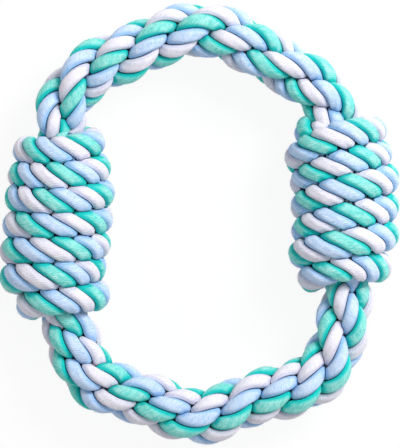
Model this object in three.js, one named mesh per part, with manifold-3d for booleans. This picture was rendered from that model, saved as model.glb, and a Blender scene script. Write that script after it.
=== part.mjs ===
// Rope ring dog toy. One three-ply cotton rope is laid three times round itself into an oval
// ring, and two shorter lengths of the same rope are wound round its sides as barrel windings.
// Millimetres, +Z up. The toy lies on its two windings on z = 0, with +Y towards the upper
// arc, and the origin under the middle of its outline.
import * as THREE from 'three';
import { mergeVertices } from 'three/addons/utils/BufferGeometryUtils.js';
import Module from 'manifold-3d';

const wasm = await Module();
wasm.setup();

// Rope
const ropeDiameter = 11.5;
const laidGap = 0.3;          // between two laid ropes, and between two ends that meet
const strands = 3;            // ropes side by side in the ring

// Ring, measured between the middles of the laid cable
const ringWidth = 130;
const ringHeight = 171;
const layTurnsPerLap = 8 + 2 / 3;   // not a whole number: one rope goes three times round
const bottomLayTurns = 3.8105;
const rightLayTurns = 0.9503;
const topLayTurns = 2.8645;
const leftLayTurns = layTurnsPerLap - bottomLayTurns - rightLayTurns - topLayTurns;
const layStartTurns = -0.2644;      // turn of the first rope where the lower arc begins
const layRadius = 6.9;              // from the cable's middle to a laid rope's middle
const shoulderLength = 12;          // over which the cable narrows towards a winding
const pressedEndShare = 0.72;       // of the free cable's size, at a winding's ends
const pressedMiddleShare = 1;       // and at its middle, where the barrel is fullest

// Windings. Lean is how much further along the ring a loop's outer side lies than its inner
// side, and tip how much further its front lies than its middle, first loop and last loop.
const woundWidth = 10.75;           // of the wound rope along the winding, pressed by its turns
const woundDepth = 12;              // of the wound rope from inside to outside
const woundGap = 0.4;               // between the winding and the cable in it
const jointInset = 8;               // from a winding's end to where the ropes inside begin
const floorCut = ropeDiameter / 10; // depth of the flat that the toy lies on
const leftWinding = {
  name: 'left_winding',
  middleShare: 0.0793,
  turns: 7,
  pitch: 11.36,
  lean: [-2.2, -0.9],
  tip: [2.2, 0],
};
const rightWinding = {
  name: 'right_winding',
  middleShare: 0.59846,
  turns: 6,
  pitch: 11.9,
  lean: [-1.3, 7.1],
  tip: [2.5, 2.5],
};

// Steps and sides
const laidSides = 10;
const laidStepsPerTurn = 14;
const loopSides = 6;
const loopSteps = 24;
const routeSamples = 24;            // between two points of the ring's route

// The ring's route, as shares of half its width and half its height. It is slightly uneven,
// as a ring laid by hand is. It starts
// at the upper end of the left winding and goes down, round the lower arc and up the right.
const routeShares = [
  [-0.969, 0.462], [-0.969, 0.275], [-0.969, 0.094], [-0.969, -0.094], [-0.969, -0.275],
  [-0.966, -0.433], [-0.899, -0.560], [-0.846, -0.690], [-0.752, -0.813], [-0.574, -0.884],
  [-0.386, -0.919], [-0.201, -0.980], [-0.008, -1.019], [0.186, -0.980], [0.362, -0.915],
  [0.555, -0.890], [0.733, -0.842], [0.870, -0.753], [0.943, -0.629], [0.992, -0.493],
  [1.007, -0.345], [0.992, -0.170], [0.985, 0.012], [0.977, 0.199], [0.969, 0.380],
  [0.946, 0.526], [0.885, 0.637], [0.783, 0.717], [0.653, 0.788], [0.505, 0.842],
  [0.351, 0.919], [0.186, 0.980], [0.001, 1.012], [-0.175, 0.987], [-0.335, 0.942],
  [-0.495, 0.881], [-0.663, 0.838], [-0.802, 0.768], [-0.900, 0.671], [-0.963, 0.569],
];

const cotton = new THREE.MeshStandardMaterial({ color: 0xa9d3de, roughness: 0.9, metalness: 0 });
const up = new THREE.Vector3(0, 0, 1);
const sector = Math.PI / strands;

// The route as a closed smooth curve, with its length measured along it.
function makeRoute() {
  const points = routeShares.map(([x, y]) => {
    return new THREE.Vector3((x * ringWidth) / 2, (y * ringHeight) / 2, 0);
  });
  const curve = new THREE.CatmullRomCurve3(points, true, 'catmullrom', 0.5);
  curve.arcLengthDivisions = points.length * routeSamples;
  return curve;
}

const route = makeRoute();
const ringLength = route.getLength();

function wrapped(s) {
  return THREE.MathUtils.euclideanModulo(s, ringLength) / ringLength;
}

// Middle, direction and outward side of the ring at a distance s along it.
function ringFrame(s) {
  const middle = route.getPointAt(wrapped(s));
  const along = route.getTangentAt(wrapped(s));
  const out = new THREE.Vector3().crossVectors(along, up);
  return { middle, along, out };
}

// Where each winding lies along the ring.
for (const winding of [leftWinding, rightWinding]) {
  winding.middle = winding.middleShare * ringLength;
  winding.half = (winding.turns * winding.pitch) / 2;
  winding.first = winding.middle - winding.half + jointInset;
  winding.last = winding.middle + winding.half - jointInset;
}

// Share of its free size to which the cable is pressed at s.
function pressedShare(s) {
  let share = 1;
  for (const winding of [leftWinding, rightWinding]) {
    let offset = Math.abs(s - winding.middle);
    offset = Math.min(offset, ringLength - offset);
    if (offset < winding.half) {
      const part = (offset / winding.half) ** 2;
      share = THREE.MathUtils.lerp(pressedMiddleShare, pressedEndShare, part);
    } else if (offset < winding.half + shoulderLength) {
      const part = (offset - winding.half) / shoulderLength;
      share = THREE.MathUtils.lerp(pressedEndShare, 1, THREE.MathUtils.smoothstep(part, 0, 1));
    }
  }
  return share;
}

// A laid rope's section square across the cable. It is as wide round the cable as its slope
// makes it, and as deep as its two neighbours leave room for.
function laidSection(turnsPerLength) {
  const slope = Math.atan(2 * Math.PI * layRadius * turnsPerLength);
  const halfWidth = ropeDiameter / 2 / Math.cos(slope);
  const reach = layRadius * Math.sin(sector) - laidGap / 2;
  const room = reach ** 2 - (halfWidth * Math.cos(sector)) ** 2;
  const halfDepth = Math.sqrt(room) / Math.sin(sector);
  return { halfWidth, halfDepth };
}

// A closed body through rings of points, with a flat cap on its first and last ring.
function skin(rings) {
  const sides = rings[0].length;
  const positions = rings.flat().flatMap((point) => point.toArray());
  const index = [];
  for (let ring = 0; ring < rings.length - 1; ring += 1) {
    for (let side = 0; side < sides; side += 1) {
      const a = ring * sides + side;
      const b = ring * sides + ((side + 1) % sides);
      index.push(a, b, b + sides);
      index.push(a, b + sides, a + sides);
    }
  }
  const end = (rings.length - 1) * sides;
  for (let side = 1; side < sides - 1; side += 1) {
    index.push(0, side + 1, side);
    index.push(end, end + side, end + side + 1);
  }
  const geometry = new THREE.BufferGeometry();
  geometry.setAttribute('position', new THREE.Float32BufferAttribute(positions, 3));
  geometry.setIndex(index);
  return geometry;
}

// One stretch of one laid rope, from one distance along the ring to another.
function laidRope(stretch, strand) {
  const { from, to, turns, startTurns } = stretch;
  const { halfWidth, halfDepth } = laidSection(turns / (to - from));
  const steps = Math.round(turns * laidStepsPerTurn);
  const rings = [];
  for (let step = 0; step <= steps; step += 1) {
    const part = step / steps;
    const s = THREE.MathUtils.lerp(from + laidGap / 2, to - laidGap / 2, part);
    const turn = startTurns + (turns * (s - from)) / (to - from) + strand / strands;
    const angle = turn * 2 * Math.PI;
    const { middle, out } = ringFrame(s);
    const away = out.clone().multiplyScalar(Math.cos(angle)).addScaledVector(up, Math.sin(angle));
    const across = out.clone().multiplyScalar(-Math.sin(angle)).addScaledVector(up, Math.cos(angle));
    const share = pressedShare(s);
    const ring = [];
    for (let side = 0; side < laidSides; side += 1) {
      const round = (-side / laidSides) * 2 * Math.PI;
      const depth = (layRadius + halfDepth * Math.cos(round)) * share;
      const width = halfWidth * Math.sin(round) * share;
      ring.push(middle.clone().addScaledVector(away, depth).addScaledVector(across, width));
    }
    rings.push(ring);
  }
  return skin(rings);
}

// Height of the ring's middle over the floor, so that the windings' flats lie on it.
const { halfDepth: freeHalfDepth } = laidSection(layTurnsPerLap / ringLength);
const cableRadius = layRadius + freeHalfDepth;
const fullRadius = cableRadius * pressedMiddleShare + woundGap + woundDepth;
const ringLift = fullRadius - floorCut;

// The wound rope's middle line: right-handed loops round a straight axis, each a little
// leaned and tipped, with a straight end one rope thick at both ends, at the back.
function woundLine(winding) {
  const { middle, along, out } = ringFrame(winding.middle);
  const steps = winding.turns * loopSteps;
  const line = [];
  for (let step = 0; step <= steps; step += 1) {
    const part = step / steps;
    const angle = (-step / loopSteps - 1 / 4) * 2 * Math.PI;
    const offset = (part * 2 - 1) * winding.half;
    const lean = (THREE.MathUtils.lerp(...winding.lean, part) / 2) * Math.cos(angle);
    const tip = THREE.MathUtils.lerp(...winding.tip, part) * Math.sin(angle);
    const inner = cableRadius * pressedShare(winding.middle + offset) + woundGap;
    const away = out.clone().multiplyScalar(Math.cos(angle)).addScaledVector(up, Math.sin(angle));
    const centre = middle.clone().addScaledVector(along, offset + lean + tip);
    centre.addScaledVector(away, inner + woundDepth / 2);
    line.push({ centre, away });
  }
  line.forEach((place, at) => {
    const before = line[Math.max(at - 1, 0)].centre;
    const after = line[Math.min(at + 1, steps)].centre;
    place.ahead = after.clone().sub(before).normalize();
  });
  const first = line[0];
  const last = line[steps];
  line.unshift({ ...first, centre: first.centre.clone().addScaledVector(first.ahead, -ropeDiameter) });
  line.push({ ...last, centre: last.centre.clone().addScaledVector(last.ahead, ropeDiameter) });
  return line;
}

// The wound rope's six-sided section: edges inside and outside, flats towards its neighbours.
function woundRings(winding) {
  return woundLine(winding).map(({ centre, away, ahead }) => {
    const side = new THREE.Vector3().crossVectors(ahead, away).normalize();
    const radial = new THREE.Vector3().crossVectors(side, ahead);
    const corners = [];
    for (let corner = 0; corner < loopSides; corner += 1) {
      const round = (corner / loopSides) * 2 * Math.PI;
      const depth = (woundDepth / 2) * Math.cos(round);
      const width = ((woundWidth / 2) * Math.sin(round)) / Math.sin(sector);
      corners.push(centre.clone().addScaledVector(radial, depth).addScaledVector(side, width));
    }
    return corners;
  });
}

// Least gap between one loop and the next, measured on their corners and mid-edges.
function leastGap(rings) {
  const measured = rings.slice(1, -1).map((ring) => {
    return ring.flatMap((corner, at) => {
      return [corner, corner.clone().lerp(ring[(at + 1) % ring.length], 1 / 2)];
    });
  });
  let least = Infinity;
  for (let one = 0; one < measured.length; one += 1) {
    for (let other = one + loopSteps / 2; other < measured.length; other += 1) {
      for (const near of measured[one]) {
        for (const far of measured[other]) {
          least = Math.min(least, near.distanceTo(far));
        }
      }
    }
  }
  return least;
}

function toManifold(geometry) {
  const merged = mergeVertices(geometry);
  return new wasm.Manifold(new wasm.Mesh({
    numProp: 3,
    vertProperties: new Float32Array(merged.attributes.position.array),
    triVerts: new Uint32Array(merged.index.array),
  }));
}

function fromManifold(solid) {
  const mesh = solid.getMesh();
  const geometry = new THREE.BufferGeometry();
  geometry.setAttribute('position', new THREE.Float32BufferAttribute(mesh.vertProperties, 3));
  geometry.setIndex([...mesh.triVerts]);
  return geometry;
}

// A winding, cut flat where it lies on the floor.
function woundRope(winding) {
  const rings = woundRings(winding);
  const gap = leastGap(rings);
  console.log(`${winding.name}: least gap between its loops ${gap.toFixed(2)} mm`);
  const block = new THREE.BoxGeometry(ringWidth * 2, ringHeight * 2, ringLift * 2);
  block.translate(0, 0, -ringLift * 2);
  block.deleteAttribute('normal');
  block.deleteAttribute('uv');
  return fromManifold(toManifold(skin(rings)).subtract(toManifold(block)));
}

// Stretches of the laid ring, in the order in which the route meets them.
const stretches = [];
function addStretch(name, from, to, turns) {
  const before = stretches.at(-1);
  const startTurns = before ? before.startTurns + before.turns : layStartTurns;
  stretches.push({ name, from, to, turns, startTurns });
}
addStretch('bottom_arc_rope', leftWinding.last, rightWinding.first, bottomLayTurns);
addStretch('right_core_rope', rightWinding.first, rightWinding.last, rightLayTurns);
addStretch('top_arc_rope', rightWinding.last, leftWinding.first + ringLength, topLayTurns);
addStretch('left_core_rope', leftWinding.first + ringLength, leftWinding.last + ringLength, leftLayTurns);

const toy = new THREE.Group();
toy.position.z = ringLift;
for (const stretch of stretches) {
  for (let strand = 0; strand < strands; strand += 1) {
    const rope = new THREE.Mesh(laidRope(stretch, strand), cotton);
    rope.name = `${stretch.name}_${strand + 1}`;
    toy.add(rope);
  }
}
for (const winding of [leftWinding, rightWinding]) {
  const rope = new THREE.Mesh(woundRope(winding), cotton);
  rope.name = winding.name;
  toy.add(rope);
}

export default toy;
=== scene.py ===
import math

import bpy
import numpy as np
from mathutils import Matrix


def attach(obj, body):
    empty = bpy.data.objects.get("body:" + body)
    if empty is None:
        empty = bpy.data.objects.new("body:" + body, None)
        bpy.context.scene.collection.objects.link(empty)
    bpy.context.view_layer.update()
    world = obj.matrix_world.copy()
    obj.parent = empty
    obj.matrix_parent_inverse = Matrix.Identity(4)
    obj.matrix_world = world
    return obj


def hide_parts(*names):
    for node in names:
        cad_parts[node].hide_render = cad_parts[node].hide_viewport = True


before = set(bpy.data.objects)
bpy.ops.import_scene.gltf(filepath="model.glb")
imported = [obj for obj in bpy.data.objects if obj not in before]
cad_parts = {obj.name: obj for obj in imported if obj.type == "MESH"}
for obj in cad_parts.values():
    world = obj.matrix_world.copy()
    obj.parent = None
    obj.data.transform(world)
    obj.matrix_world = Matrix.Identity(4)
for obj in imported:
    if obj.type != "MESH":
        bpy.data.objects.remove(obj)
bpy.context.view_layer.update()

# Camera: it hangs straight over the toy, 1.2 m above the middle plane of the rope ring,
# with the same framing as the photograph.
MM = 0.001
ring_lift = 23.445 * MM
view_height = 1.2
view_middle_x, view_middle_y = -0.22 * MM, -0.67 * MM
camera_data = bpy.data.cameras.new("overhead_camera")
camera_data.sensor_width = 36
camera_data.lens = 215.5
camera_data.clip_start = 0.05
camera_data.clip_end = 20
camera = bpy.data.objects.new("overhead_camera", camera_data)
camera.location = (view_middle_x, view_middle_y, ring_lift + view_height)
bpy.context.scene.collection.objects.link(camera)
bpy.context.scene.camera = camera

# Ring: one long cotton rope laid three times round itself into a closed cable of three
# laps. The rope is three plies (mint, sky, lavender white) twisted right-handed. Its laps
# run on inside both windings, and their ends meet inside the left one.
UP = np.array([0.0, 0.0, 1.0])
half_ring_width = 65.0 * MM
half_ring_height = 85.5 * MM
# the middle of the cable in shares of the half width and half height, down the left side,
# along the bottom, up the right side and back along the top
ring_route = [
    (-0.969, 0.462), (-0.969, 0.275), (-0.969, 0.094), (-0.969, -0.094), (-0.969, -0.275),
    (-0.966, -0.433), (-0.899, -0.560), (-0.846, -0.690), (-0.752, -0.813), (-0.574, -0.884),
    (-0.386, -0.919), (-0.201, -0.980), (-0.008, -1.019), (0.186, -0.980), (0.362, -0.915),
    (0.555, -0.890), (0.733, -0.842), (0.870, -0.753), (0.943, -0.629), (0.992, -0.493),
    (1.007, -0.345), (0.992, -0.170), (0.985, 0.012), (0.977, 0.199), (0.969, 0.380),
    (0.946, 0.526), (0.885, 0.637), (0.783, 0.717), (0.653, 0.788), (0.505, 0.842),
    (0.351, 0.919), (0.186, 0.980), (0.001, 1.012), (-0.175, 0.987), (-0.335, 0.942),
    (-0.495, 0.881), (-0.663, 0.838), (-0.802, 0.768), (-0.900, 0.671), (-0.963, 0.569)]
samples_per_span = 64
# a smooth curve through these points, and its slope
corners = np.array(ring_route) * [half_ring_width, half_ring_height]
share = (np.arange(samples_per_span) / samples_per_span)[None, :, None]
c0, c1, c2, c3 = (np.roll(corners, shift, 0)[:, None, :] for shift in (1, 0, -1, -2))
bend, ease_in = 2 * c0 - 5 * c1 + 4 * c2 - c3, 3 * c1 - c0 - 3 * c2 + c3
route_spot = (0.5 * (2 * c1 + (c2 - c0) * share + bend * share ** 2
                     + ease_in * share ** 3)).reshape(-1, 2)
route_slope = (0.5 * ((c2 - c0) + 2 * bend * share + 3 * ease_in * share ** 2)).reshape(-1, 2)
route_spot = np.vstack([route_spot, route_spot[:1]])
route_slope = np.vstack([route_slope, route_slope[:1]])
route_run = np.r_[0, np.cumsum(np.linalg.norm(np.diff(route_spot, axis=0), axis=1))]
ring_length = route_run[-1]


def unit(v):
    return v / np.linalg.norm(v, axis=-1, keepdims=True)


def curve_through(x, y, q, slope=None):
    """Smooth curve through the points (x, y), read at q, straight on past both ends."""
    x, y = np.asarray(x, float), np.asarray(y, float)
    slope = np.gradient(y, x) if slope is None else slope
    inside = np.clip(q, x[0], x[-1])
    i = np.clip(np.searchsorted(x, inside, side="right") - 1, 0, len(x) - 2)
    h = x[i + 1] - x[i]
    t = (inside - x[i]) / h
    value = ((1 + 2 * t) * (1 - t) ** 2 * y[i] + t * (1 - t) ** 2 * h * slope[i]
             + t * t * (3 - 2 * t) * y[i + 1] + t * t * (t - 1) * h * slope[i + 1])
    return value + (q - inside) * np.where(q < x[0], slope[0], slope[-1])


def ring_at(run):
    """Middle of the cable, its direction, and the way out of the ring, at each run."""
    run = np.mod(run, ring_length)
    flat = np.zeros_like(run)
    middle = np.stack([np.interp(run, route_run, route_spot[:, 0]),
                       np.interp(run, route_run, route_spot[:, 1]), flat + ring_lift], -1)
    along = unit(np.stack([np.interp(run, route_run, route_slope[:, 0]),
                           np.interp(run, route_run, route_slope[:, 1]), flat], -1))
    return middle, along, np.stack([along[..., 1], -along[..., 0], flat], -1)


# where the seam between two ropes passes over the middle of the cable, in mm along the
# ring, and which seam it is
crossing_run = np.array([89.19, 102.95, 120.12, 139.32, 155.57, 173.08, 192.70, 207.96,
                         224.81, 245.18, 264.76, 342.42, 361.59, 387.44, 408.04, 428.95,
                         449.40, 468.33, 491.14]) * MM
crossing_count = np.array([0, 1, 2, 3, 4, 5, 6, 7, 8, 9, 10, 14, 15, 16, 17, 18, 19, 20, 21])
lay_turns_per_lap = 8 + 2 / 3
lay_radius = 6.9 * MM
left_middle, right_middle = 0.079297 * ring_length, 0.598459 * ring_length
left_half, right_half = 39.76 * MM, 35.7 * MM
first_seam_turn = 0.25 / 3
mouth_squeeze, squeeze_growth, squeeze_fade = 0.36, 1.6, 5 * MM


def lay_turn(run):
    """Turns that the first lap has made round the cable, at each run along the ring."""
    turns = crossing_count / 3 + first_seam_turn
    x = np.r_[crossing_run[-4:] - ring_length, crossing_run, crossing_run[:4] + ring_length]
    y = np.r_[turns[-4:] - lay_turns_per_lap, turns, turns[:4] + lay_turns_per_lap]
    lap = np.floor(run / ring_length)
    return curve_through(x, y, run - lap * ring_length) + lap * lay_turns_per_lap


def pressed_share(run):
    """The windings pull the cable's ropes closer together, most of all at their mouths."""
    result = np.ones_like(run)
    for middle, half in ((left_middle, left_half), (right_middle, right_half)):
        off = np.abs(np.mod(run - middle + ring_length / 2, ring_length) - ring_length / 2)
        within = 1 - mouth_squeeze * np.clip(off / half, 0, 1) ** squeeze_growth
        beyond = 1 - mouth_squeeze * np.exp(-np.clip(off - half, 0, None) / squeeze_fade)
        result = np.where(off < half, within, np.minimum(result, beyond))
    return result


def lap_line(lap, run):
    """Middle of one lap's rope, and the way there from the middle of the cable."""
    middle, _, outwards = ring_at(run)
    angle = 2 * np.pi * (lay_turn(run) + lap / 3)
    away = outwards * np.cos(angle)[:, None] + UP * np.sin(angle)[:, None]
    return middle + away * (lay_radius * pressed_share(run))[:, None], away


def soft_floor(distance, least, rounding):
    """The distance, or the least that it may be, with a rounded change from one to the other."""
    return 0.5 * (distance + least + np.sqrt((distance - least) ** 2 + rounding ** 2))


ply_offset = 2.95 * MM
ply_half_depth = 2.85 * MM
ply_half_width = 3.55 * MM
ply_power = 2.32
sixth_turn = np.pi / 3
# round one ply's section, closest together on its shoulders
side_angles = np.radians([0, 13, 26, 38, 49, 58, 66, 73, 80, 88, 98, 116, 145])
side_angles = np.r_[side_angles, np.pi, -side_angles[:0:-1]]
wave_rates, wave_total = (1, 0.61, 1.7), 2.2


def wander(steps, step_length, wave_length, seed):
    """Slow seeded unevenness between about -1 and 1."""
    draw = np.random.default_rng(seed)
    x = np.arange(steps) * step_length / wave_length
    waves = [np.sin(2 * np.pi * (x * rate + draw.random())) for rate in wave_rates]
    return sum(waves) / wave_total


def rope_course(line, away, twist, depth, width, drawn):
    """A rope's middle line with its direction, its two cross axes, its twist and its size.
    Drawn is how much straighter the plies run on the rope's outer side than on its flanks."""
    direction = unit(np.gradient(line, axis=0))
    a = unit(away - direction * np.sum(away * direction, -1, keepdims=True))
    stride = np.linalg.norm(np.gradient(line, axis=0), axis=1)
    return {"line": line, "direction": direction, "a": a, "b": np.cross(direction, a),
            "twist": twist, "depth": depth * np.ones(len(line)),
            "width": width * np.ones(len(line)), "stride": stride, "drawn": drawn}


crevice_width = 1.25 * MM
swell_share, swell_wave = 0.035, 21 * MM
fullness_share, fullness_wave = 0.03, 8 * MM
ply_gap, ply_crease_rounding, ply_crease_depth = 0.03 * MM, 0.2 * MM, 0.08 * MM


def ply_surfaces(course, step_length, seed):
    """Points of three plies laid round one rope line, how far each is from a crevice, and
    how deep it lies between the plies about it."""
    line, a, b = course["line"], course["a"], course["b"]
    co, si = np.cos(side_angles), np.sin(side_angles)
    round_depth = np.sign(co) * np.abs(co) ** (2 / ply_power)
    round_width = np.sign(si) * np.abs(si) ** (2 / ply_power)
    plies, clearances, tucked = [], [], []
    for ply in range(3):
        swell = 1 + swell_share * wander(len(line), step_length, swell_wave, seed * 10 + ply)
        fullness = 1 + fullness_share * wander(len(line), step_length, fullness_wave,
                                               seed * 10 + ply + 3)
        outwards = ply_offset + ply_half_depth * round_depth[None, :] * (swell * fullness)[:, None]
        sideways = ply_half_width * round_width[None, :] * swell[:, None]
        # pressed off the plane half way to the next ply
        clear = outwards * np.sin(sixth_turn) - np.abs(sideways) * np.cos(sixth_turn)
        pushed = soft_floor(clear, ply_gap, ply_crease_rounding)
        outwards = outwards + (pushed - clear) * np.sin(sixth_turn)
        sideways = sideways - np.sign(sideways) * (pushed - clear) * np.cos(sixth_turn)
        turn = course["twist"] + ply * 2 * sixth_turn
        c, s = np.cos(turn)[:, None], np.sin(turn)[:, None]
        x, y = c * outwards - s * sideways, s * outwards + c * sideways
        radius, angle = np.hypot(x, y), np.arctan2(y, x)
        angle = angle - course["drawn"] * np.sin(2 * angle)
        x = radius * np.cos(angle) * course["depth"][:, None]
        y = radius * np.sin(angle) * course["width"][:, None]
        plies.append(line[:, None] + a[:, None] * x[..., None] + b[:, None] * y[..., None])
        clearances.append(pushed - ply_crease_depth)
        tucked.append(np.exp(-(pushed - ply_crease_depth) / crevice_width))
    return np.stack(plies), np.stack(clearances), np.stack(tucked)


# the outside of one ply as a radius about the rope's middle line
outside = np.linspace(-2.0, 2.0, 400)
outline_x = ply_offset + ply_half_depth * np.sign(np.cos(outside)) * np.abs(
    np.cos(outside)) ** (2 / ply_power)
outline_y = ply_half_width * np.sign(outside) * np.abs(np.sin(outside)) ** (2 / ply_power)
outline_angle, outline_radius = np.arctan2(outline_y, outline_x), np.hypot(outline_x, outline_y)
rope_gap, rope_crease_rounding, rope_crease_depth = 0.04 * MM, 0.24 * MM, 0.12 * MM
deepest_press = 1.3 * MM


def nest_against(points, clearance, tucked, other, q, live=True):
    """Presses a rope's plies half way out of the plies of the rope beside it, whose station
    nearest to each point is sought from q on. Only the points marked live are pressed."""
    last = len(other["line"]) - 1.001  # just short of its last station

    def beside(name, q):
        i = q.astype(int)
        f = q - i
        values = other[name]
        if values.ndim == 2:
            f = f[..., None]
        return values[i] * (1 - f) + values[i + 1] * f

    q = np.clip(np.broadcast_to(q, points.shape[:-1]), 0, last)
    for _ in range(3):
        ahead = np.sum((points - beside("line", q)) * beside("direction", q), -1)
        q = np.clip(q + ahead / beside("stride", q), 0, last)
    offset = points - beside("line", q)
    x = np.sum(offset * beside("a", q), -1) / beside("depth", q)
    y = np.sum(offset * beside("b", q), -1) / beside("width", q)
    angle = drawn_angle = np.arctan2(y, x)
    for _ in range(4):
        angle = drawn_angle + other["drawn"] * np.sin(2 * angle)
    angle = np.mod(angle - beside("twist", q) + sixth_turn, 2 * sixth_turn) - sixth_turn
    gap = np.hypot(x, y) - np.interp(angle, outline_angle, outline_radius)
    pushed = soft_floor(gap, rope_gap, rope_crease_rounding)
    shift = np.where(live, np.clip(0.5 * (pushed - gap), 0, deepest_press), 0)
    above_crease = pushed - rope_crease_depth
    return (points + unit(offset) * shift[..., None],
            np.where(live, np.minimum(clearance, above_crease), clearance),
            tucked + np.where(live, np.exp(-above_crease / crevice_width), 0))


yarn_turns_per_ply_turn = 1.75


def rope_object(name, points, clearance, tucked, twist, line, finishes):
    """One mesh of three closed plies, with its lay as a UV map and its crevices stored."""
    stations, sides = points.shape[1:3]
    length_so_far = np.r_[0, np.cumsum(np.linalg.norm(np.diff(line, axis=0), axis=1))]
    around = np.r_[side_angles, side_angles[0] + 2 * np.pi]
    around = np.where(around < 0, around + 2 * np.pi, around) / (2 * np.pi)
    lay = yarn_turns_per_ply_turn * twist / (2 * np.pi)
    station, side = np.meshgrid(np.arange(stations - 1), np.arange(sides), indexing="ij")
    station, side = station.ravel(), side.ravel()
    next_side = (side + 1) % sides
    verts, faces, sheet, slots = [], [], [], []
    for ply in range(3):
        base = ply * (stations * sides + 2)
        verts += [points[ply].reshape(-1, 3), points[ply][[0, -1]].mean(1)]
        quads = base + np.stack([station * sides + side, station * sides + next_side,
                                 (station + 1) * sides + next_side,
                                 (station + 1) * sides + side], 1)
        quad_u = np.stack([around[side] + lay[station], around[side + 1] + lay[station],
                           around[side + 1] + lay[station + 1],
                           around[side] + lay[station + 1]], 1)
        quad_v = length_so_far[np.stack([station, station, station + 1, station + 1], 1)]
        first, last = base + stations * sides, base + stations * sides + 1
        ring = np.arange(sides)
        turn = (ring + 1) % sides
        start = np.stack([np.full(sides, first), base + turn, base + ring], 1)
        tail = base + (stations - 1) * sides
        end = np.stack([np.full(sides, last), tail + ring, tail + turn], 1)
        faces += quads.tolist() + start.tolist() + end.tolist()
        # the triangles that close the two ends carry no lay
        sheet += [np.stack([quad_u.ravel(), quad_v.ravel()], 1), np.zeros((6 * sides, 2))]
        slots += [np.full(len(quads) + 2 * sides, ply)]
    mesh = bpy.data.meshes.new(name)
    mesh.from_pydata(np.vstack(verts).tolist(), [], faces)
    lay_map = mesh.uv_layers.new(name="cotton_lay")
    lay_map.data.foreach_set("uv", np.vstack(sheet).astype(np.float32).ravel())
    for label, values in (("clear_of_crevice_mm", clearance / MM), ("tucked_in", tucked)):
        stored = mesh.attributes.new(label, "FLOAT", "POINT")
        stored.data.foreach_set("value", np.concatenate(
            [np.r_[values[ply].ravel(), 0, 0] for ply in range(3)]).astype(np.float32))
    mesh.polygons.foreach_set("material_index", np.concatenate(slots))
    mesh.polygons.foreach_set("use_smooth", np.ones(len(mesh.polygons), bool))
    for finish in finishes:
        mesh.materials.append(finish)
    mesh.update()
    piece = bpy.data.objects.new(name, mesh)
    bpy.context.scene.collection.objects.link(piece)
    return piece


def new_group(name, inputs, outputs):
    group = bpy.data.node_groups.new(name, "ShaderNodeTree")
    for label, kind, value in inputs:
        socket = group.interface.new_socket(label, in_out="INPUT", socket_type=kind)
        socket.default_value = value
    for label, kind in outputs:
        group.interface.new_socket(label, in_out="OUTPUT", socket_type=kind)
    return group, group.nodes.new("NodeGroupInput"), group.nodes.new("NodeGroupOutput")


def math_node(tree, operation, first, second=None, third_value=None):
    node = tree.nodes.new("ShaderNodeMath")
    node.operation = operation
    for socket, value in zip(node.inputs, (first, second, third_value)):
        if value is None:
            continue
        if hasattr(value, "default_value"):
            tree.links.new(value, socket)
        else:
            socket.default_value = value
    return node.outputs[0]


def mix_colour(tree, factor, first, second):
    node = tree.nodes.new("ShaderNodeMix")
    node.data_type = "RGBA"
    for socket, value in ((node.inputs[0], factor), (node.inputs[6], first),
                          (node.inputs[7], second)):
        if hasattr(value, "default_value"):
            tree.links.new(value, socket)
        else:
            socket.default_value = value
    return node.outputs[2]


def smooth_share(tree, value, least, most):
    node = tree.nodes.new("ShaderNodeMapRange")
    node.interpolation_type = "SMOOTHSTEP"
    node.inputs["From Min"].default_value = least
    node.inputs["From Max"].default_value = most
    tree.links.new(value, node.inputs["Value"])
    return node.outputs["Result"]


def clamped(tree, value, most=1.0):
    node = tree.nodes.new("ShaderNodeClamp")
    node.inputs["Max"].default_value = most
    tree.links.new(value, node.inputs["Value"])
    return node.outputs[0]


def noise(tree, vector, scale, detail, roughness=0.5):
    node = tree.nodes.new("ShaderNodeTexNoise")
    for label, value in (("Scale", scale), ("Detail", detail), ("Roughness", roughness)):
        node.inputs[label].default_value = value
    tree.links.new(vector, node.inputs["Vector"])
    return node.outputs["Fac"]


# the ply's deep colour also paints the shade in crevices and yarn grooves, its worn colour paints
# pale crowns that are partly wear and partly painted highlight, and its shoulder colour is a
# painted highlight beside each seam
cotton, cotton_in, cotton_out = new_group(
    "cotton_ply",
    [("Dye", "NodeSocketColor", (0.5, 0.5, 0.5, 1)),
     ("Deep dye and crevice shade", "NodeSocketColor", (0.2, 0.2, 0.2, 1)),
     ("Worn and highlight", "NodeSocketColor", (0.9, 0.9, 0.9, 1)),
     ("Shoulder highlight", "NodeSocketColor", (0.6, 0.6, 0.6, 1)),
     ("Wear and highlight", "NodeSocketFloat", 0.3)],
    [("Color", "NodeSocketColor"), ("Roughness", "NodeSocketFloat"),
     ("Height", "NodeSocketFloat")])
cotton_lay = cotton.nodes.new("ShaderNodeUVMap")
cotton_lay.uv_map = "cotton_lay"
split = cotton.nodes.new("ShaderNodeSeparateXYZ")
cotton.links.new(cotton_lay.outputs[0], split.inputs[0])
round_ply, along_ply = split.outputs[0], split.outputs[1]
place = cotton.nodes.new("ShaderNodeTexCoord").outputs["Object"]


def along_the_yarns(cells_round, cells_per_metre):
    """Noise coordinates drawn out along a ply's yarns."""
    spread = cotton.nodes.new("ShaderNodeCombineXYZ")
    cotton.links.new(math_node(cotton, "MULTIPLY", round_ply, cells_round), spread.inputs[0])
    cotton.links.new(math_node(cotton, "MULTIPLY", along_ply, cells_per_metre), spread.inputs[1])
    return spread.outputs[0]


def stored_value(name):
    node = cotton.nodes.new("ShaderNodeAttribute")
    node.attribute_name = name
    return node.outputs["Fac"]


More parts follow.
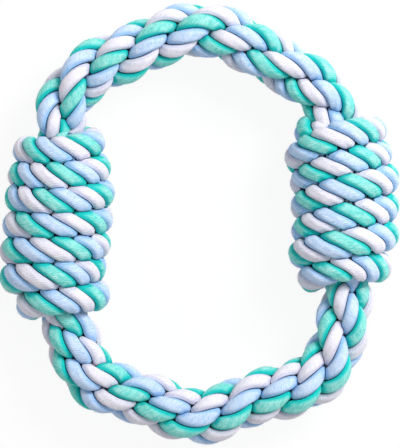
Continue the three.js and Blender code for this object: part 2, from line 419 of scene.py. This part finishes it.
# yarns: rounded ridges that drift a little to either side, each a little darker or paler
yarns_per_ply = 24
drift = noise(cotton, place, scale=260, detail=2)
drift_in_yarns = 0.9
yarn_at = math_node(cotton, "ADD", math_node(cotton, "MULTIPLY", round_ply, yarns_per_ply),
                    math_node(cotton, "MULTIPLY", drift, drift_in_yarns))
yarn_round = math_node(cotton, "ABSOLUTE", math_node(
    cotton, "SINE", math_node(cotton, "MULTIPLY", yarn_at, math.pi)))
one_yarn = cotton.nodes.new("ShaderNodeTexWhiteNoise")
one_yarn.noise_dimensions = "1D"
cotton.links.new(math_node(cotton, "FLOOR", yarn_at), one_yarn.inputs["W"])

# fibres, patches and flecks run with the yarns, and the mottling doesn't
fibre_grain = along_the_yarns(cells_round=26, cells_per_metre=240)
patch_grain = along_the_yarns(cells_round=7, cells_per_metre=130)
fleck_grain = along_the_yarns(cells_round=60, cells_per_metre=900)
fibres = noise(cotton, fibre_grain, scale=1, detail=5, roughness=0.68)
patches = noise(cotton, patch_grain, scale=1, detail=2)
flecks = noise(cotton, fleck_grain, scale=1, detail=3)
mottle = noise(cotton, place, scale=75, detail=3)

# dye with painted shade: deep by the crevices and in the grooves between yarns, open towards the
# crown
clear_mm = stored_value("clear_of_crevice_mm")
groove_shade_most, streak_swing, mottle_swing, yarn_swing = 0.16, 1.15, 0.8, 0.1
open_share = smooth_share(cotton, clear_mm, least=-0.5, most=2.0)
groove_shade_amount = math_node(cotton, "MULTIPLY", math_node(cotton, "SUBTRACT", 1, yarn_round), groove_shade_most)
thin_streak = math_node(cotton, "MULTIPLY", math_node(cotton, "SUBTRACT", fibres, 0.5),
                        streak_swing)
blotch = math_node(cotton, "ADD", math_node(
    cotton, "MULTIPLY", math_node(cotton, "SUBTRACT", mottle, 0.5), mottle_swing),
    math_node(cotton, "MULTIPLY", one_yarn.outputs["Value"], yarn_swing))
brighten = clamped(cotton, math_node(cotton, "SUBTRACT", math_node(
    cotton, "ADD", open_share, math_node(cotton, "ADD", thin_streak, blotch)), groove_shade_amount))
dyed_and_shaded = mix_colour(cotton, brighten, cotton_in.outputs["Deep dye and crevice shade"], cotton_in.outputs["Dye"])

# wear and painted highlight: the crowns are rubbed pale in streaks and painted lighter
fibre_part, patch_part = 0.6, 0.4
crown_share = smooth_share(cotton, clear_mm, least=0.9, most=3.3)
streaks = math_node(cotton, "ADD", math_node(cotton, "MULTIPLY", fibres, fibre_part),
                    math_node(cotton, "MULTIPLY", patches, patch_part))
streak_share = smooth_share(cotton, streaks, least=0.2, most=0.78)
rubbed_and_highlight = clamped(cotton, math_node(cotton, "MULTIPLY", math_node(
    cotton, "MULTIPLY", streak_share, crown_share), cotton_in.outputs["Wear and highlight"]))
colour = mix_colour(cotton, rubbed_and_highlight, dyed_and_shaded, cotton_in.outputs["Worn and highlight"])

# painted highlight: a clear band of colour beside each seam
shoulder_highlight_most = 0.85
shoulder_rise = smooth_share(cotton, clear_mm, least=0.15, most=0.45)
shoulder_fall = smooth_share(cotton, clear_mm, least=0.5, most=1.3)
shoulder_highlight_share = math_node(cotton, "MULTIPLY", math_node(
    cotton, "SUBTRACT", shoulder_rise, shoulder_fall), shoulder_highlight_most)
colour = mix_colour(cotton, shoulder_highlight_share, colour, cotton_in.outputs["Shoulder highlight"])

# flecks of deeper dye
fleck_most = 0.55
fleck_share = math_node(cotton, "MULTIPLY", smooth_share(cotton, flecks, least=0.52, most=0.72),
                        fleck_most)
colour = mix_colour(cotton, fleck_share, colour, cotton_in.outputs["Deep dye and crevice shade"])

# painted shade: almost black at the bottom of each crevice and where several plies meet
seam_fade_mm, seam_shade_most = 0.1, 0.98
seam_shade_colour = (0.002, 0.009, 0.032, 1)
seam_line_shade = math_node(cotton, "EXPONENT", math_node(cotton, "DIVIDE", clear_mm, -seam_fade_mm))
seam_corner_shade = smooth_share(cotton, stored_value("tucked_in"), least=1.1, most=1.3)
seam_shade_share = clamped(cotton, math_node(cotton, "ADD", seam_line_shade, seam_corner_shade), seam_shade_most)
cotton.links.new(mix_colour(cotton, seam_shade_share, colour, seam_shade_colour), cotton_out.inputs["Color"])

least_roughness, fibre_roughness, fibre_height = 0.78, 0.2, 0.9
cotton.links.new(math_node(cotton, "ADD", least_roughness, math_node(
    cotton, "MULTIPLY", fibres, fibre_roughness)), cotton_out.inputs["Roughness"])
cotton.links.new(math_node(cotton, "ADD", yarn_round, math_node(
    cotton, "MULTIPLY", fibres, fibre_height)), cotton_out.inputs["Height"])


def cotton_finish(name, dye, deep, worn_and_highlight, shoulder_highlight_colour, wear_and_highlight):
    finish = bpy.data.materials.new(name)
    finish.use_nodes = True
    tree = finish.node_tree
    shader = tree.nodes["Principled BSDF"]
    ply = tree.nodes.new("ShaderNodeGroup")
    ply.node_tree = cotton
    for label, value in (("Dye", dye), ("Deep dye and crevice shade", deep), ("Worn and highlight", worn_and_highlight),
                         ("Shoulder highlight", shoulder_highlight_colour)):
        ply.inputs[label].default_value = (*value, 1)
    ply.inputs["Wear and highlight"].default_value = wear_and_highlight
    bump = tree.nodes.new("ShaderNodeBump")
    bump.inputs["Strength"].default_value = 0.65
    bump.inputs["Distance"].default_value = 0.21 * MM
    tree.links.new(ply.outputs["Color"], shader.inputs["Base Color"])
    tree.links.new(ply.outputs["Roughness"], shader.inputs["Roughness"])
    tree.links.new(ply.outputs["Height"], bump.inputs["Height"])
    tree.links.new(bump.outputs[0], shader.inputs["Normal"])
    shader.inputs["Specular IOR Level"].default_value = 0.08
    shader.inputs["Sheen Weight"].default_value = 0.03
    shader.inputs["Sheen Roughness"].default_value = 0.5
    return finish


# each finish's deep colour also paints the shade in crevices and yarn grooves, its worn colour
# paints the crowns pale with wear and painted highlight, and its shoulder colour is a painted
# highlight beside each seam
mint = cotton_finish("mint_cotton", dye=(0.015, 0.61, 0.55), deep=(0.0, 0.34, 0.33),
                     worn_and_highlight=(0.50, 0.87, 0.81), shoulder_highlight_colour=(0.01, 0.62, 0.58), wear_and_highlight=1.0)
sky = cotton_finish("sky_cotton", dye=(0.43, 0.62, 0.91), deep=(0.08, 0.32, 0.66),
                    worn_and_highlight=(0.72, 0.82, 0.97), shoulder_highlight_colour=(0.40, 0.66, 0.95), wear_and_highlight=1.0)
lavender = cotton_finish("lavender_white_cotton", dye=(0.75, 0.73, 0.83),
                         deep=(0.42, 0.44, 0.64), worn_and_highlight=(0.90, 0.87, 0.93),
                         shoulder_highlight_colour=(0.84, 0.82, 0.92), wear_and_highlight=0.9)

# how far each lap has twisted: mm along the ring, radians there, and radians per mm there
lap_twist = [
    [(96.1, 1.85, 0.43), (147.5, 20.11, 0.43), (200.5, 38.89, 0.43), (255.0, 59.49, 0.43),
     (374.4, 104.93, 0.33), (439.3, 127.32, 0.39), (502.0, 150.11, 0.43)],
    [(81.0, -0.61, 0.33), (129.8, 18.41, 0.38), (183.1, 39.34, 0.33), (234.8, 59.76, 0.36),
     (351.7, 103.23, 0.43), (418.5, 126.69, 0.36), (479.6, 149.65, 0.35)],
    [(111.2, 3.19, 0.4), (164.1, 21.01, 0.37), (216.1, 40.07, 0.4), (274.5, 59.71, 0.33),
     (342.0, 86.5, 0.36), (398.0, 103.89, 0.42), (458.7, 125.45, 0.41)]]
lap_step = 0.55 * MM
lap_depth, lap_width = 1.01, 1.03
run = np.arange(left_middle, left_middle + ring_length, lap_step)
lap_courses = []
for lap in range(3):
    table = np.array(lap_twist[lap])
    twist = curve_through(table[:, 0] * MM, table[:, 1], run, table[:, 2] / MM)
    lap_courses.append(rope_course(*lap_line(lap, run), twist, lap_depth, lap_width, 0))
ropes = []
for lap, course in enumerate(lap_courses):
    line, twist = course["line"], course["twist"]
    points, clearance, tucked = ply_surfaces(course, lap_step, lap + 1)
    for other in (lap_courses[lap - 1], lap_courses[lap - 2]):
        points, clearance, tucked = nest_against(points, clearance, tucked, other,
                                                 np.arange(len(run))[None, :, None])
    piece = rope_object(f"ring_lap_{lap + 1}", points, clearance, tucked, twist, line,
                        [mint, lavender, sky])
    ropes.append((piece, ("mint", "lavender", "sky")))
    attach(piece, "root")
    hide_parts(*(f"{stretch}_rope_{lap + 1}" for stretch in
                         ("bottom_arc", "right_core", "top_arc", "left_core")))

# Windings: two shorter lengths of the same rope, wound tight round the left and right of
# the ring, seven loops and six. Their ends dive under the end loops against the cable, and
# the loops press into one another, so that each seam between them is scalloped.
wound_pitch = {"left": 11.36 * MM, "right": 11.9 * MM}
wound_end = {"left": 7.0, "right": 6.3}
wound_middle = {"left": left_middle, "right": right_middle}
# loop by loop: turn, mm along the winding from its middle
wound_place = {
    "left": [(0.25, -35.9), (0.5, -31.8), (0.75, -32.3), (1.25, -24.5), (1.5, -20.5),
             (1.75, -21.3), (2.25, -13.4), (2.5, -9.7), (2.75, -11.3), (3.25, -1.8),
             (3.5, 0.9), (3.75, 1.0), (4.25, 9.6), (4.5, 11.7), (4.75, 12.6), (5.25, 19.9),
             (5.5, 22.5), (5.75, 24.6), (6.25, 32.1), (6.5, 33.9), (6.75, 36.0)],
    "right": [(0.25, -32.0), (0.5, -26.8), (0.75, -27.5), (1.25, -20.7), (1.5, -16.2),
              (1.75, -13.1), (2.25, -10.4), (2.5, -4.4), (2.75, -0.8), (3.25, 0.8),
              (3.5, 7.4), (3.75, 11.8), (4.25, 11.1), (4.5, 19.2), (4.75, 22.8),
              (5.25, 22.1), (5.5, 31.2), (5.75, 33.4), (6, 33.0), (6.25, 34.4)]}
# turn, mm from the winding's axis to the middle of its rope
wound_reach = {
    "left": [(0, 14.3), (0.25, 14.25), (0.75, 14.9), (1, 16), (1.25, 16.9), (1.75, 17.1),
             (2, 17.7), (2.25, 18.7), (2.75, 18.5), (3, 17.9), (3.25, 17.8), (3.75, 19.4),
             (4, 17.9), (4.25, 16.9), (4.75, 20.7), (5, 17.9), (5.25, 14.7), (5.75, 20.7),
             (6, 17.9), (6.25, 16.5), (6.75, 13.6), (7, 13.6)],
    "right": [(0, 15.0), (0.25, 15.7), (0.75, 14.9), (1, 17), (1.25, 19.1), (1.75, 18.5),
              (2, 17.8), (2.25, 17.4), (2.75, 18.9), (3, 17.9), (3.25, 17.4), (3.75, 19.3),
              (4, 17.9), (4.25, 17.4), (4.75, 16.6), (5, 17.6), (5.25, 19.3), (5.75, 14.4),
              (6, 14.6), (6.25, 14.9)]}
# how far each rope has twisted: turn, radians there, and radians per turn there
wound_twist = {
    "left": [(0.5, -2.61, 24.0), (1.5, 26.13, 27.7), (2.5, 55.94, 29.0), (3.5, 85.55, 26.0),
             (4.5, 114.69, 27.3), (5.5, 144.2, 27.0), (6.5, 174.08, 24.0),
             (6.78, 179.9, 18.0)],
    "right": [(0.5, 1.87, 26.0), (1.5, 31.44, 26.0), (2.5, 61.88, 27.7), (3.5, 92.45, 28.0),
              (4.5, 122.94, 27.7), (5.5, 153.9, 29.0), (6.2, 173.9, 17.0),
              (6.5, 178.8, 16.0)]}
wound_drawn = {"left": 0.1, "right": 0.13}
# a tail runs on this many turns past each end loop
tail_turns = 0.24
# it begins to dive this many turns inside the first loop and the last
dive_early = {"left": (0.2, 0.15), "right": (0.3, 0.1)}
# how deep it dives, and how many pitches it slides under the end loop, over how many turns
tail_dive, dive_turns = 11 * MM, 0.5
tail_slide, slide_turns = 0.9, 0.4


def ease(x, over):
    """Smooth change from 0 to 1 as x goes from 0 to over."""
    x = np.clip(x / over, 0, 1)
    return x * x * (3 - 2 * x)


def wound_line(side, turn):
    """Middle of a winding's rope, and the way there from the winding's axis, at each turn."""
    middle, along, outwards = (v[0] for v in ring_at(np.array([wound_middle[side]])))
    place, reach = np.array(wound_place[side]), np.array(wound_reach[side])
    pitch = wound_pitch[side]
    over = np.clip(turn - wound_end[side] + dive_early[side][1], 0, None)
    under = np.clip(dive_early[side][0] - turn, 0, None)
    at = curve_through(place[:, 0], place[:, 1] * MM, turn)
    at = at - tail_slide * pitch * (ease(over, slide_turns) - ease(under, slide_turns))
    radius = curve_through(reach[:, 0], reach[:, 1] * MM, np.clip(turn, 0, wound_end[side]))
    radius = radius - tail_dive * (ease(over, dive_turns) + ease(under, dive_turns))
    # each loop begins under the cable
    angle = -(turn + 0.25) * 2 * np.pi
    away = outwards * np.cos(angle)[:, None] + UP * np.sin(angle)[:, None]
    return middle + along * at[:, None] + away * radius[:, None], away


wound_step = 0.66 * MM
rough_stations = 2000
# the rope keeps this size where its loops touch, and is fuller where they lie apart
wound_depth, wound_width = 1.05, 1.04
touching_spacing, fullest = 10.7 * MM, 1.17
live_past_end = 0.05
table_gap, table_rounding = 0.02 * MM, 0.3 * MM
for seed, side in ((7, "left"), (8, "right")):
    first, last = -tail_turns, wound_end[side] + tail_turns
    rough = np.linspace(first, last, rough_stations)
    rough_line, _ = wound_line(side, rough)
    rough_run = np.r_[0, np.cumsum(np.linalg.norm(np.diff(rough_line, axis=0), axis=1))]
    turn = np.interp(np.arange(0, rough_run[-1], wound_step), rough_run, rough)
    line, away = wound_line(side, turn)
    table = np.array(wound_twist[side])
    twist = curve_through(table[:, 0], table[:, 1], turn, table[:, 2])
    spacing = np.max([np.where(
        (turn + step > 0) & (turn + step < wound_end[side]),
        np.linalg.norm(wound_line(side, turn + step)[0] - line, axis=-1), 0)
        for step in (1, -1)], axis=0)
    width = wound_width * np.clip(spacing / touching_spacing, 1, fullest)
    course = rope_course(line, away, twist, wound_depth, width, wound_drawn[side])
    points, clearance, tucked = ply_surfaces(course, wound_step, seed)
    for step in (1, -1):
        next_loop = np.interp(turn + step, turn, np.arange(len(turn)))
        # the tail under the first loop doesn't press on it
        live = (turn + step > 0) & (turn + step < wound_end[side] + live_past_end)
        points, clearance, tucked = nest_against(points, clearance, tucked, course,
                                                 next_loop[None, :, None], live[None, :, None])
    points[..., 2] = soft_floor(points[..., 2], table_gap, table_rounding)
    piece = rope_object(f"{side}_winding_rope", points, clearance, tucked, twist, line,
                        [mint, sky, lavender])
    ropes.append((piece, ("mint", "sky", "lavender")))
    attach(piece, "root")
    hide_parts(f"{side}_winding")

# Loose fibres: short cotton hairs that have worked loose and stand off the plies all over
# the ropes, each in the dye of its own ply.
loose_cotton = bpy.data.node_groups.new("loose_cotton", "GeometryNodeTree")
tree_in = {}
for label, kind, value in [
        ("Rope", "NodeSocketGeometry", None), ("Fibres per square metre", "NodeSocketFloat", 1e5),
        ("Longest fibre", "NodeSocketFloat", 0.002), ("Thickness", "NodeSocketFloat", 5e-5),
        ("Least clearance", "NodeSocketFloat", 0.8), ("Seed", "NodeSocketInt", 1),
        ("First dye", "NodeSocketMaterial", None), ("Second dye", "NodeSocketMaterial", None),
        ("Third dye", "NodeSocketMaterial", None)]:
    socket = loose_cotton.interface.new_socket(label, in_out="INPUT", socket_type=kind)
    tree_in[label] = socket.identifier
    if value is not None:
        socket.default_value = value
loose_cotton.interface.new_socket("Fibres", in_out="OUTPUT", socket_type="NodeSocketGeometry")
new_node, join = loose_cotton.nodes.new, loose_cotton.links.new
given, made = new_node("NodeGroupInput"), new_node("NodeGroupOutput")
which = new_node("GeometryNodeInputMaterialIndex")
keep_ply = new_node("GeometryNodeCaptureAttribute")
keep_ply.domain = "FACE"
keep_ply.capture_items.new("INT", "Ply")
join(given.outputs["Rope"], keep_ply.inputs["Geometry"])
join(which.outputs[0], keep_ply.inputs["Ply"])
clearance_mm = new_node("GeometryNodeInputNamedAttribute")
clearance_mm.data_type = "FLOAT"
clearance_mm.inputs["Name"].default_value = "clear_of_crevice_mm"
open_side = new_node("FunctionNodeCompare")
open_side.data_type, open_side.operation = "FLOAT", "GREATER_THAN"
join(clearance_mm.outputs["Attribute"], open_side.inputs["A"])
join(given.outputs["Least clearance"], open_side.inputs["B"])
roots = new_node("GeometryNodeDistributePointsOnFaces")
join(keep_ply.outputs["Geometry"], roots.inputs["Mesh"])
join(open_side.outputs["Result"], roots.inputs["Selection"])
join(given.outputs["Fibres per square metre"], roots.inputs["Density"])
join(given.outputs["Seed"], roots.inputs["Seed"])
lean = new_node("FunctionNodeRandomValue")
lean.data_type = "FLOAT_VECTOR"
lean.inputs["Min"].default_value = (0.75, -0.2, 0)
lean.inputs["Max"].default_value = (1.45, 0.2, 2 * math.pi)
join(given.outputs["Seed"], lean.inputs["Seed"])
turn_fibre = new_node("FunctionNodeRotateRotation")
turn_fibre.rotation_space = "LOCAL"
join(roots.outputs["Rotation"], turn_fibre.inputs["Rotation"])
join(lean.outputs["Value"], turn_fibre.inputs["Rotate By"])
shortest_share = 0.35
size = new_node("FunctionNodeRandomValue")
size.data_type = "FLOAT"
size.inputs[2].default_value = shortest_share
join(given.outputs["Seed"], size.inputs["Seed"])
one_fibre = new_node("GeometryNodeCurveQuadraticBezier")
one_fibre.inputs["Resolution"].default_value = 2
one_fibre.inputs["Start"].default_value = (0, 0, -0.05)
one_fibre.inputs["Middle"].default_value = (0, 0, 0.55)
one_fibre.inputs["End"].default_value = (0.35, 0.1, 0.85)
full_size = new_node("GeometryNodeTransform")
join(one_fibre.outputs[0], full_size.inputs["Geometry"])
join(given.outputs["Longest fibre"], full_size.inputs["Scale"])
section = new_node("GeometryNodeCurvePrimitiveCircle")
section.inputs["Resolution"].default_value = 3
join(math_node(loose_cotton, "MULTIPLY", given.outputs["Thickness"], 0.5),
     section.inputs["Radius"])
fibre_skin = new_node("GeometryNodeCurveToMesh")
fibre_skin.inputs["Fill Caps"].default_value = True
join(full_size.outputs[0], fibre_skin.inputs["Curve"])
join(section.outputs[0], fibre_skin.inputs["Profile Curve"])
stand = new_node("GeometryNodeInstanceOnPoints")
join(roots.outputs["Points"], stand.inputs["Points"])
join(fibre_skin.outputs[0], stand.inputs["Instance"])
join(turn_fibre.outputs["Rotation"], stand.inputs["Rotation"])
join(size.outputs[1], stand.inputs["Scale"])
real = new_node("GeometryNodeRealizeInstances")
join(stand.outputs[0], real.inputs[0])
fibres_so_far = real.outputs[0]
for ply, label in enumerate(("First dye", "Second dye", "Third dye")):
    of_ply = new_node("FunctionNodeCompare")
    of_ply.data_type, of_ply.operation = "INT", "EQUAL"
    join(keep_ply.outputs["Ply"], of_ply.inputs[2])
    of_ply.inputs[3].default_value = ply
    dye_it = new_node("GeometryNodeSetMaterial")
    join(fibres_so_far, dye_it.inputs["Geometry"])
    join(of_ply.outputs["Result"], dye_it.inputs["Selection"])
    join(given.outputs[label], dye_it.inputs["Material"])
    fibres_so_far = dye_it.outputs[0]
join(fibres_so_far, made.inputs["Fibres"])


dye_cells_per_metre = 900


def fibre_finish(name, bright, deep):
    finish = bpy.data.materials.new(name)
    finish.use_nodes = True
    tree = finish.node_tree
    shader = tree.nodes["Principled BSDF"]
    spot = tree.nodes.new("ShaderNodeTexCoord").outputs["Object"]
    uneven = noise(tree, spot, scale=dye_cells_per_metre, detail=2)
    tree.links.new(mix_colour(tree, uneven, (*bright, 1), (*deep, 1)),
                   shader.inputs["Base Color"])
    shader.inputs["Roughness"].default_value = 0.9
    shader.inputs["Specular IOR Level"].default_value = 0.1
    return finish


fibre_dye = {
    "mint": fibre_finish("mint_fibre", bright=(0.25, 0.85, 0.78), deep=(0.02, 0.50, 0.46)),
    "sky": fibre_finish("sky_fibre", bright=(0.62, 0.78, 0.95), deep=(0.25, 0.42, 0.70)),
    "lavender": fibre_finish("lavender_fibre", bright=(0.90, 0.91, 0.96),
                             deep=(0.60, 0.62, 0.76))}
fibres_per_square_metre, longest_fibre, fibre_thickness = 420000.0, 1.6 * MM, 0.045 * MM
least_clearance_mm, first_seed, fibre_table_gap = 0.7, 31, 0.03 * MM
for number, (rope, dyes) in enumerate(ropes):
    fuzz = bpy.data.objects.new(rope.name + "_fuzz", rope.data)
    bpy.context.scene.collection.objects.link(fuzz)
    grow = fuzz.modifiers.new("loose cotton", "NODES")
    grow.node_group = loose_cotton
    for label, value in (("Fibres per square metre", fibres_per_square_metre),
                         ("Longest fibre", longest_fibre), ("Thickness", fibre_thickness),
                         ("Least clearance", least_clearance_mm), ("Seed", first_seed + number),
                         ("First dye", fibre_dye[dyes[0]]), ("Second dye", fibre_dye[dyes[1]]),
                         ("Third dye", fibre_dye[dyes[2]])):
        grow[tree_in[label]] = value
    bpy.context.view_layer.update()
    grown = bpy.data.meshes.new_from_object(
        fuzz.evaluated_get(bpy.context.evaluated_depsgraph_get()))
    fuzz.modifiers.remove(grow)
    fibre_points = np.empty(len(grown.vertices) * 3, np.float32)
    grown.vertices.foreach_get("co", fibre_points)
    fibre_points[2::3] = np.maximum(fibre_points[2::3], fibre_table_gap)
    grown.vertices.foreach_set("co", fibre_points)
    if grown.materials[0] is None:
        grown.materials.pop(index=0)
    grown.update()
    fuzz.data = grown
    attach(fuzz, "root")

# Table and light: a plain white table under the toy, a soft lamp from the upper right, and
# an even white room.
table_mesh = bpy.data.meshes.new("table_top")
reach = 4.0
table_mesh.from_pydata([(-reach, -reach, 0), (reach, -reach, 0), (reach, reach, 0),
                        (-reach, reach, 0)], [], [(0, 1, 2, 3)])
table_top = bpy.data.objects.new("table_top", table_mesh)
bpy.context.scene.collection.objects.link(table_top)


def seen_share(tree):
    """One where the camera sees a surface straight, in a mirror or through glass, else 0."""
    ray = tree.nodes.new("ShaderNodeLightPath")
    return math_node(tree, "MAXIMUM", math_node(
        tree, "MAXIMUM", ray.outputs["Is Camera Ray"], ray.outputs["Is Glossy Ray"]),
        ray.outputs["Is Transmission Ray"])


glow_share = 0.91
white = bpy.data.materials.new("white_table")
white.use_nodes = True
nodes, links = white.node_tree.nodes, white.node_tree.links
nodes.remove(nodes["Principled BSDF"])
matt = nodes.new("ShaderNodeBsdfDiffuse")
matt.inputs["Color"].default_value = (0.9, 0.9, 0.9, 1)
glow = nodes.new("ShaderNodeEmission")
glow.inputs["Strength"].default_value = 1.0
blend = nodes.new("ShaderNodeMixShader")
links.new(math_node(white.node_tree, "MULTIPLY", seen_share(white.node_tree), glow_share),
          blend.inputs[0])
links.new(matt.outputs[0], blend.inputs[1])
links.new(glow.outputs[0], blend.inputs[2])
links.new(blend.outputs[0], nodes["Material Output"].inputs["Surface"])
table_mesh.materials.append(white)

room_light, extra_where_seen = 0.54, 0.46
world = bpy.data.worlds.new("white_room")
bpy.context.scene.world = world
world.use_nodes = True
tree = world.node_tree
room = tree.nodes["Background"]
room.inputs["Color"].default_value = (1, 1, 1, 1)
tree.links.new(math_node(tree, "MULTIPLY_ADD", seen_share(tree), extra_where_seen, room_light),
               room.inputs["Strength"])

lamp_data = bpy.data.lights.new("soft_lamp", "AREA")
lamp_data.shape = "SQUARE"
lamp_data.size = 0.45
lamp_data.energy = 11.5
lamp = bpy.data.objects.new("soft_lamp", lamp_data)
lamp.location = (0.55, 0.5, 0.85)
lit_spot = (0, 0, 0.02)
aim = np.array(lit_spot) - np.array(lamp.location)
lamp.rotation_euler = (math.acos(-aim[2] / np.linalg.norm(aim)), 0,
                       math.atan2(aim[1], aim[0]) - math.pi / 2)
bpy.context.scene.collection.objects.link(lamp)

bpy.context.scene.view_settings.view_transform = "Standard"
